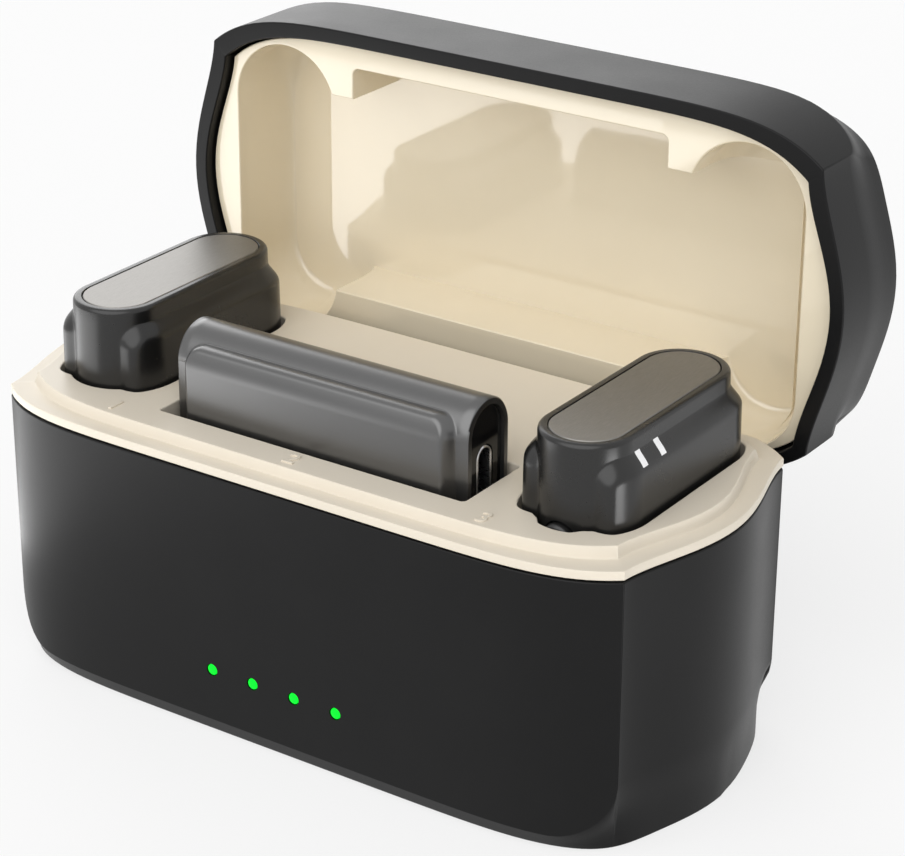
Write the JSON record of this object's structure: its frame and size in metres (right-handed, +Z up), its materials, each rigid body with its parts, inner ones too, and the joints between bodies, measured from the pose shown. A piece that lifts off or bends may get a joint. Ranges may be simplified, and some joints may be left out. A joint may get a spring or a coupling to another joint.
{
  "type": "wireless microphone charging case",
  "caption": "Bowed charging case with a hinged lid and moulded deck that docks clip-sized wireless transmitters and a plug-in receiver, each lifting straight out.",
  "frame": {"origin": "centre of the flat underside that the case stands on", "axes": "+X along the case's length to the right, +Y to the hinge at the rear, +Z up"},
  "size_m": [0.103, 0.0647, 0.0798],
  "materials": {
    "black_shell": "fine matte moulding",
    "cream_moulding": "satin moulding, glossier inside the lid",
    "charcoal_housing": "satin moulding",
    "gloss_black": "polished",
    "brushed_plate": "brushed along its length, anodised grey",
    "white_light_guide": "milky",
    "green_light": "lit green",
    "steel": "plain",
    "gold_contact": "gold plated",
    "circuit_board": "solder mask",
    "battery_foil": "foil pouch",
    "magnet_plating": "nickel plated"
  },
  "bodies": {
    "base": {"base_magnet_left": "magnet_plating", "base_magnet_right": "magnet_plating", "base_shell": "black_shell", "board_screw_1": "steel", "board_screw_2": "steel", "board_screw_3": "steel", "board_screw_4": "steel", "case_battery": "battery_foil", "case_board": "circuit_board", "charge_socket": "steel", "deck_tray": "cream_moulding", "hinge_pin": "steel", "rx_dock_socket": "steel", "status_light_1": "green_light", "status_light_2": "green_light", "status_light_3": "green_light", "status_light_4": "green_light", "tx_left_dock": "gold_contact", "tx_right_dock": "gold_contact"},
    "lid": {"lid_liner": "cream_moulding", "lid_magnet_left": "magnet_plating", "lid_magnet_right": "magnet_plating", "lid_shell": "black_shell"},
    "tx_left": {"tx_left_base_cover": "charcoal_housing", "tx_left_battery": "battery_foil", "tx_left_board": "circuit_board", "tx_left_contact": "gold_contact", "tx_left_face_plate": "brushed_plate", "tx_left_housing": "charcoal_housing", "tx_left_light_guide": "white_light_guide", "tx_left_mic_capsule": "steel"},
    "tx_left_button": {"tx_left_button": "charcoal_housing"},
    "tx_right": {"tx_right_base_cover": "charcoal_housing", "tx_right_battery": "battery_foil", "tx_right_board": "circuit_board", "tx_right_contact": "gold_contact", "tx_right_face_plate": "brushed_plate", "tx_right_housing": "charcoal_housing", "tx_right_light_guide": "white_light_guide", "tx_right_mic_capsule": "steel"},
    "tx_right_button": {"tx_right_button": "charcoal_housing"},
    "rx": {"rx_board": "circuit_board", "rx_end_cap_left": "gloss_black", "rx_end_cap_right": "gloss_black", "rx_housing": "charcoal_housing", "rx_plug": "steel", "rx_port": "steel"}
  },
  "joints": [
    {"name": "lid_hinge", "type": "hinge", "parent": "base", "child": "lid", "pos_m": [0, 0.02095, 0.0346], "axis": [-1, 0, 0], "range_deg": [-90, 0]},
    {"name": "tx_left_lift", "type": "slide", "parent": "base", "child": "tx_left", "axis": [0, 0, 1], "range_m": [0, 0.024]},
    {"name": "tx_right_lift", "type": "slide", "parent": "base", "child": "tx_right", "axis": [0, 0, 1], "range_m": [0, 0.024]},
    {"name": "rx_lift", "type": "slide", "parent": "base", "child": "rx", "axis": [0, 0, 1], "range_m": [0, 0.024]},
    {"name": "tx_left_press", "type": "slide", "parent": "tx_left", "child": "tx_left_button", "axis": [0, 1, 0], "range_m": [-0.0005, 0], "stiffness_N_per_m": 600},
    {"name": "tx_right_press", "type": "slide", "parent": "tx_right", "child": "tx_right_button", "axis": [0, -1, 0], "range_m": [-0.0005, 0], "stiffness_N_per_m": 600}
  ]
}
